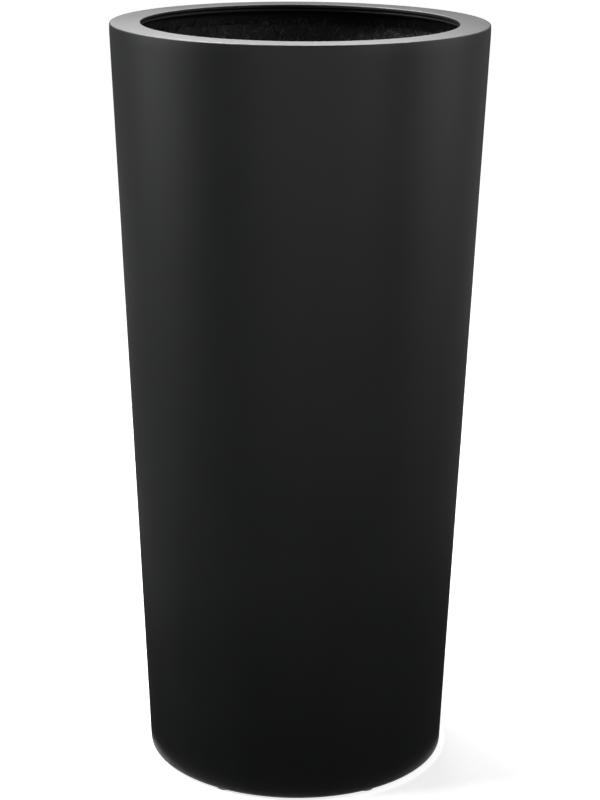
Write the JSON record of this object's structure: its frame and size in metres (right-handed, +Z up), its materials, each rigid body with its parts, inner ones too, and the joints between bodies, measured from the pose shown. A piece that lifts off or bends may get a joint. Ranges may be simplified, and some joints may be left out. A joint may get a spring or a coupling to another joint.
{
  "type": "floor planter",
  "caption": "Tall round tapered fibreglass planter with a flat inward lip, a bonded base with a drain hole and pull-out bung, and rubber feet.",
  "frame": {"origin": "on the floor, on the planter's axis", "axes": "+Z up along the planter's axis, from foot to mouth; -Y towards the camera of the picture"},
  "size_m": [0.4398, 0.4398, 0.9],
  "materials": {
    "satin_skin": "satin near-black lacquer over moulded fibreglass, faint orange peel",
    "glass_mat": "rough chopped strand glass mat under black resin",
    "laminate": "black glass laminate, brushed by hand",
    "rubber": "matt moulded rubber"
  },
  "bodies": {
    "planter": {"outer_shell": "satin_skin", "mat_lining": "glass_mat", "lip_stiffener": "laminate", "rim_strip": "laminate", "base_plate": "laminate", "base_strip": "laminate", "foot_pad_1": "rubber", "foot_pad_2": "rubber", "foot_pad_3": "rubber", "foot_pad_4": "rubber", "foot_pad_5": "rubber", "foot_pad_6": "rubber"},
    "plug": {"drain_plug": "rubber"}
  },
  "joints": [
    {"name": "plug_pull", "type": "slide", "parent": "planter", "child": "plug", "axis": [0, 0, 1], "range_m": [0, 0.93]}
  ]
}
